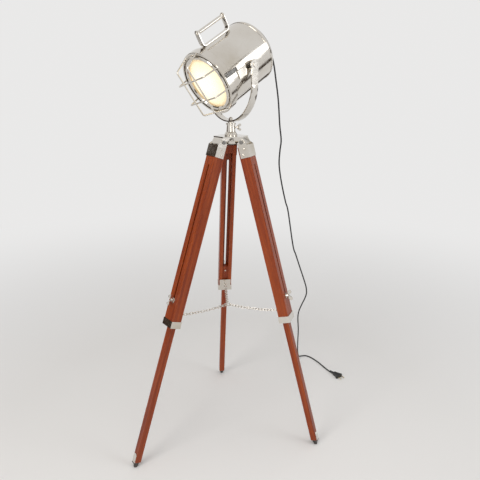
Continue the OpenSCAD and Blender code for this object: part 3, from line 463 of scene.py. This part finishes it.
def brass_finish():
    """Worn brass of the plug's pins."""
    finish = Finish("plug_brass")
    wear = finish.noise(finish.place(), 180, 3, 0.5)
    tint = finish.ramp(wear, [(0.3, colour(0.72, 0.60, 0.36)), (0.7, colour(0.80, 0.72, 0.50))])
    finish.set(Base_Color=tint, Metallic=1.0, Roughness=(wear * 0.2 + 0.14).clamp())
    return finish.material


NICKEL = nickel_finish()
STEEL = steel_finish()
BLACK = plastic_finish("black_plastic", 0.022, 0.38)
SHEATH = plastic_finish("cord_sheath", 0.014, 0.34)
WOOD = {leg: wood_finish(leg) for leg in LEGS}
SLOT_FINISH = {
    "polished_metal": NICKEL, "dark_steel": STEEL, "black_plastic": BLACK, "cord_sheath": SHEATH,
    "frosted_lens": lens_finish(), "bulb_glass": bulb_finish(), "reflector": reflector_finish(),
    "brass_pins": brass_finish(),
}


def finish_piece(piece, material):
    piece.data.materials.clear()
    piece.data.materials.append(material)


def finish_nodes():
    """Every node of the frame takes the finish of its material slot, and wood the grain of its own leg."""
    for part in frame["record"]["subparts"]:
        node, slot = part["node"], part["material_slot"]
        finish_piece(nodes[node], WOOD[node.split("_")[0]] if slot == "stained_wood" else SLOT_FINISH[slot])


finish_nodes()
for leg in LEGS:
    finish_piece(nodes[leg + "_foot"], foot_finish(leg))
for piece in cord_pieces:
    finish_piece(piece, SHEATH)

# ---------------------------------------------------------------- small fittings


def fitting(name, form, body, material, place):
    """A finished piece from a bmesh drawn in millimetres in its own frame."""
    bmesh.ops.remove_doubles(form, verts=form.verts, dist=0.001)
    bmesh.ops.scale(form, vec=(MM, MM, MM), verts=form.verts)
    bmesh.ops.transform(form, matrix=place, verts=form.verts)
    bmesh.ops.recalc_face_normals(form, faces=form.faces)
    mesh = bpy.data.meshes.new(name)
    form.to_mesh(mesh)
    form.free()
    for face in mesh.polygons:
        face.use_smooth = True
    made = bpy.data.objects.new(name, mesh)
    scene.collection.objects.link(made)
    finish_piece(made, material)
    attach(made, body)
    return made


def join(form, part, place=None):
    """Moves what is drawn in one bmesh into another."""
    if place is not None:
        bmesh.ops.transform(part, matrix=place, verts=part.verts)
    carrier = bpy.data.meshes.new("carrier")
    part.to_mesh(carrier)
    part.free()
    form.from_mesh(carrier)
    bpy.data.meshes.remove(carrier)


def spun(form, outline, steps=32, place=None):
    """Adds an outline of (radius, height) turned about Z."""
    part = bmesh.new()
    points = [part.verts.new((radius, 0, height)) for radius, height in outline]
    edges = [part.edges.new(pair) for pair in zip(points, points[1:])]
    bmesh.ops.spin(part, geom=points + edges, axis=(0, 0, 1), cent=(0, 0, 0), steps=steps,
                   angle=2 * pi, use_merge=True)
    bmesh.ops.remove_doubles(part, verts=part.verts, dist=0.001)
    join(form, part, place)


def edge_round(piece, width, segments, angle):
    """Rounds the edges that are sharper than an angle."""
    bevel = piece.modifiers.new("round", "BEVEL")
    bevel.width = width * MM
    bevel.segments = segments
    bevel.limit_method = "ANGLE"
    bevel.angle_limit = radians(angle)
    bevel.harden_normals = True


def slotted_head(form, diameter, height, place, turn):
    """A low domed screw head on Z = 0 with a driver slot across it."""
    radius = diameter / 2
    dome = [(radius * sin(radians(a)), height * (0.35 + 0.65 * cos(radians(a)))) for a in range(0, 91, 15)]
    head = bmesh.new()
    spun(head, dome + [(radius, -0.2), (0, -0.2)], 32)
    bmesh.ops.remove_doubles(head, verts=head.verts, dist=0.001)
    half, depth = diameter * 0.075, height * 0.55
    for side in (-1, 1):
        bmesh.ops.bisect_plane(head, geom=head.verts[:] + head.edges[:] + head.faces[:], dist=0.0001,
                               plane_co=(0, side * half, 0), plane_no=(0, 1, 0))
    for vert in head.verts:
        if abs(vert.co.y) < half - 0.001 and vert.co.z > 0.01:
            vert.co.z = max(0.01, vert.co.z - depth)
    join(form, head, place @ Matrix.Rotation(radians(turn), 4, "Z"))


BRACKET_SIDE = 27.0
BRACKET_END = 52.0
CHANNEL_TOP = 14.0


def bracket_screws():
    """Four slotted screws in the cheeks of each bracket, with every slot at its own angle."""
    for leg in LEGS:
        form = bmesh.new()
        turn = 20.0
        for side in (-1, 1):
            for across, along in ((-5, -CHANNEL_TOP - 10), (4, 10 - BRACKET_END)):
                place = (Matrix.Translation((side * BRACKET_SIDE, across, along))
                         @ Matrix.Rotation(side * pi / 2, 4, "Y"))
                slotted_head(form, 8, 2, place, turn)
                turn += 47
        made = fitting(leg + "_bracket_screws", form, leg + "_leg", NICKEL, leg_frame(leg))
        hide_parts("bracket_screws_" + leg)


bracket_screws()

GRIP_HEIGHT = 142.0
HANDLE_FRONT = 71.0
HANDLE_BACK = 46.0
HANDLE_SHEET = 3.0


def handle_fittings():
    """The grip, a rod with a turned collar at each end, and the slotted screws that hold it."""
    length = HANDLE_FRONT + HANDLE_BACK - 2 * HANDLE_SHEET
    form = bmesh.new()
    half = length / 2
    side = [(0, half), (6.0, half), (6.8, half - 0.8), (6.8, half - 4.2), (6.0, half - 5.0),
            (5.2, half - 5.6), (5.2, half - 9), (5.5, half - 16)]
    outline = side + [(radius, -height) for radius, height in reversed(side)]
    spun(form, outline, 40)
    middle = Matrix.Translation((0, (HANDLE_BACK - HANDLE_FRONT) / 2 * MM, GRIP_HEIGHT * MM))
    made = fitting("turned_grip", form, "head", NICKEL,
                   HEAD_FRAME @ middle @ Matrix.Rotation(pi / 2, 4, "X"))
    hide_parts("handle_grip")
    form = bmesh.new()
    for end, way in ((HANDLE_BACK, -1), (-HANDLE_FRONT, 1)):
        place = Matrix.Translation((0, end, GRIP_HEIGHT)) @ Matrix.Rotation(way * pi / 2, 4, "X")
        slotted_head(form, 9, 3, place, 30 * way)
    made = fitting("handle_end_screws", form, "head", NICKEL, HEAD_FRAME)
    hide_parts("handle_screws")


handle_fittings()

CAP_BACK = 114.0
GLAND_DROP = 40.0
GLAND_LENGTH = 31.0


def cord_boot(form, long, wide, narrow, ribs, place):
    """A tapered strain relief with grooves, from Z = 0 to its length."""
    outline = [(0, 0), (wide, 0)]
    for k in range(ribs):
        low = 1.5 + (long - 3) * k / ribs
        step = (long - 3) / ribs
        for part, sunk in ((0.0, 0.0), (0.55, 0.0), (0.65, 0.9), (0.92, 0.9)):
            z = low + step * part
            outline.append((wide + (narrow - wide) * z / long - sunk, z))
    outline += [(narrow, long - 1.2), (narrow - 0.5, long), (0, long)]
    spun(form, outline, 32, place)


def gland_fittings():
    """The cord's gland: a six-sided nut against the cap and a grooved boot behind it."""
    form = bmesh.new()
    bmesh.ops.create_cone(form, cap_ends=True, segments=6, radius1=10.5, radius2=10.5, depth=9,
                          matrix=Matrix.Translation((0, 0, 4.5)))
    spun(form, [(0, 8.9), (8.6, 8.9), (8.6, 11.0), (8.0, 11.6), (0, 11.6)], 32)
    cord_boot(form, GLAND_LENGTH - 11.4, 7.6, 4.4, 5, Matrix.Translation((0, 0, 11.4)))
    place = (HEAD_FRAME @ Matrix.Translation((0, CAP_BACK * MM, -GLAND_DROP * MM))
             @ Matrix.Rotation(-pi / 2, 4, "X"))
    made = fitting("gland_and_boot", form, "head", BLACK, place)
    edge_round(made, 0.4, 2, 35)
    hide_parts("cable_gland")


gland_fittings()

PLUG_TURN = -61.5
PLUG_HEIGHT = 0.0062


def plug_boot():
    """The tapered relief where the cord enters the plug."""
    form = bmesh.new()
    cord_boot(form, 26, 6.0, 3.6, 6, None)
    end = Vector(CORD_ROUTE[-1])
    place = (Matrix.Translation((end.x, end.y, PLUG_HEIGHT)) @ Matrix.Rotation(radians(PLUG_TURN), 4, "Z")
             @ Matrix.Translation((0.009, 0, 0)) @ Matrix.Rotation(-pi / 2, 4, "Y"))
    fitting("plug_boot", form, "base", BLACK, place)


plug_boot()


CHAIN_WELD = 0.000005
HOOK_MARGIN = 0.006


def chain_strands():
    """Each strand hangs from the centre ring on one side and reaches its leg on the other."""
    ring_low, ring_high = (Vector(corner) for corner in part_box("chain_ring"))
    ring = (ring_low + ring_high) / 2
    for leg in LEGS:
        node = nodes[leg + "_chain"]
        form = bmesh.new()
        form.from_mesh(node.data)
        bmesh.ops.remove_doubles(form, verts=form.verts, dist=CHAIN_WELD)
        low, high = (Vector(corner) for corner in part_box(leg + "_chain"))
        ends = [Vector((x, y, ring.z)) for x in (low.x, high.x) for y in (low.y, high.y)]
        mesh = bpy.data.meshes.new(leg + "_strand")
        form.to_mesh(mesh)
        form.free()
        for face in mesh.polygons:
            face.use_smooth = True
        strand = bpy.data.objects.new(leg + "_strand", mesh)
        scene.collection.objects.link(strand)
        finish_piece(strand, NICKEL)
        turn = radians(LEGS[leg][0])
        outward = Vector((sin(turn), -cos(turn), 0))
        reach = max((end - ring).dot(outward) for end in ends)
        hook = ring + outward * (reach - HOOK_MARGIN)
        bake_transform(strand)
        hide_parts(leg + "_chain")


chain_strands()

# ---------------------------------------------------------------- softened edges

SOFT_EDGES = {
    0.9: [leg + part for leg in LEGS for part in ("_upper_leg", "_lower_leg")] + ["hub_casting", "yoke"],
    0.6: ["hub_bottom_plate", "handle_bracket", "stem_clamp_screw", "tilt_bolts"]
         + [leg + "_wing_bolt" for leg in LEGS],
    0.4: ["trunnion_plates", "clip_keeper", "bezel_hinge", "yoke_nut", "socket_bolt", "leg_hinge_pins"]
         + [leg + part for leg in LEGS for part in ("_bracket", "_band", "_foot")],
    0.25: ["spring_clip", "tilt_washers", "plug_pins"],
    1.6: ["plug"],
}


def soften(node, width):
    """Rounds a node's edges: its loose triangles are joined first."""
    piece = nodes[node]
    weld = piece.modifiers.new("join", "WELD")
    weld.merge_threshold = 0.00002
    flat = piece.modifiers.new("flat", "DECIMATE")
    flat.decimate_type = "DISSOLVE"
    flat.angle_limit = radians(0.6)
    edge_round(piece, width, 3, 40)


for width, names in SOFT_EDGES.items():
    for name in names:
        soften(name, width)

# ---------------------------------------------------------------- studio

FLOOR_COLOUR = colour(0.80, 0.79, 0.78)
BACKDROP_COLOUR = colour(0.82, 0.815, 0.81)
CARD_COLOUR = colour(0.060, 0.040, 0.028)
WORLD_COLOUR = colour(0.80, 0.80, 0.80)
WORLD_STRENGTH = 0.45


def stage_plane(name, size, place, turn, shade, seen=True):
    """A flat board of the studio, with its finish."""
    mesh = bpy.data.meshes.new(name)
    form = bmesh.new()
    bmesh.ops.create_grid(form, x_segments=1, y_segments=1, size=0.5)
    bmesh.ops.scale(form, vec=(size[0], size[1], 1), verts=form.verts)
    form.to_mesh(mesh)
    form.free()
    board = bpy.data.objects.new(name, mesh)
    board.location = place
    board.rotation_euler = [radians(angle) for angle in turn]
    board.visible_camera = seen
    scene.collection.objects.link(board)
    finish = Finish(name)
    finish.set(Base_Color=shade, Roughness=0.9)
    finish_piece(board, finish.material)
    return board, finish


def lamp(name, place, aim, size, power, tint, mirrored=True):
    """A soft rectangular lamp; one that isn't mirrored stays out of the reflections."""
    data = bpy.data.lights.new(name, "AREA")
    data.shape = "RECTANGLE"
    data.size, data.size_y = size
    data.energy = power
    data.color = tint
    light = bpy.data.objects.new(name, data)
    light.location = place
    light.visible_glossy = mirrored
    light.rotation_euler = (Vector(aim) - Vector(place)).to_track_quat("-Z", "Y").to_euler()
    scene.collection.objects.link(light)


def seen_ray(tree):
    """One where a ray comes from the camera or from metal or glass, otherwise zero."""
    ray = tree.nodes.new("ShaderNodeLightPath")
    seen = ray.outputs["Is Camera Ray"]
    for output in ("Is Glossy Ray", "Is Transmission Ray"):
        joined = tree.nodes.new("ShaderNodeMath")
        joined.operation = "MAXIMUM"
        tree.links.new(seen, joined.inputs[0])
        tree.links.new(ray.outputs[output], joined.inputs[1])
        seen = joined.outputs[0]
    return seen


FADE_START = 0.9
FADE_WIDTH = 2.6


def fade_floor(finish):
    """Far from the lamp the floor takes the backdrop's own colour, so that no horizon shows."""
    away = Value(finish, finish.vector("LENGTH", finish.place(), output="Value"))
    share = ((away - FADE_START) * (1 / FADE_WIDTH)).clamp()
    seen = Value(finish, seen_ray(finish.tree))
    backdrop = finish.node("ShaderNodeEmission", None, Color=BACKDROP_COLOUR)
    blend = finish.node("ShaderNodeMixShader", None, share * (2 - share) * seen,
                        finish.shader.outputs[0], backdrop.outputs[0])
    finish.tree.links.new(blend.outputs[0], finish.output.inputs[0])


def build_studio():
    """A pale floor under soft lamps, and dark cards that show only in reflections, for contrast."""
    finish = stage_plane("floor", (30, 30), (0, 0, -0.0005), (0, 0, 0), FLOOR_COLOUR)[1]
    fade_floor(finish)
    for name, size, place, turn in (
        ("dark_card_left", (1.3, 2.6), (-2.3, 0.6, 1.3), (90, 0, 75)),
        ("dark_card_right", (1.3, 2.4), (1.9, -1.4, 1.2), (90, 0, -48)),
        ("dark_card_low_right", (0.22, 1.5), (1.1, -1.7, 0.7), (90, 0, -20)),
        ("dark_card_far_right", (0.35, 2.0), (2.4, 0.2, 1.1), (90, 0, -80)),
        ("dark_card_front", (0.5, 2.2), (-1.1, -2.6, 1.2), (90, 0, 22)),
        ("dark_card_low_front", (1.6, 0.25), (0.3, -2.1, 0.35), (90, 0, 0)),
        ("dark_card_back", (1.6, 2.4), (1.4, 2.1, 1.4), (90, 0, 215)),
        ("dark_card_top", (0.5, 0.5), (-0.9, 0.6, 2.9), (0, 0, 30)),
    ):
        card = stage_plane(name, size, place, turn, CARD_COLOUR, seen=False)[0]
        card.visible_shadow = False
        card.visible_diffuse = False
    lamp("overhead", (0.2, -0.3, 3.4), (0, 0, 1.0), (2.6, 2.0), 42, (1.0, 0.98, 0.95), mirrored=False)
    lamp("key", (-2.4, -2.2, 2.6), (0, 0, 0.9), (1.6, 1.6), 46, (1.0, 0.97, 0.93))
    lamp("fill", (2.8, -1.6, 1.8), (0, 0, 0.8), (1.4, 2.0), 20, (0.95, 0.97, 1.0))
    lamp("strip", (-0.4, -3.2, 1.9), (0, 0, 1.3), (0.35, 2.2), 12, (1.0, 0.96, 0.9))
    world = bpy.data.worlds.new("studio")
    scene.world = world
    world.use_nodes = True
    tree = world.node_tree
    background = tree.nodes["Background"]
    background.inputs["Color"].default_value = WORLD_COLOUR
    background.inputs["Strength"].default_value = WORLD_STRENGTH
    seen = tree.nodes.new("ShaderNodeBackground")
    seen.inputs["Color"].default_value = BACKDROP_COLOUR
    blend = tree.nodes.new("ShaderNodeMixShader")
    tree.links.new(seen_ray(tree), blend.inputs[0])
    tree.links.new(background.outputs[0], blend.inputs[1])
    tree.links.new(seen.outputs[0], blend.inputs[2])
    tree.links.new(blend.outputs[0], tree.nodes["World Output"].inputs[0])
    scene.view_settings.view_transform = "Standard"


build_studio()
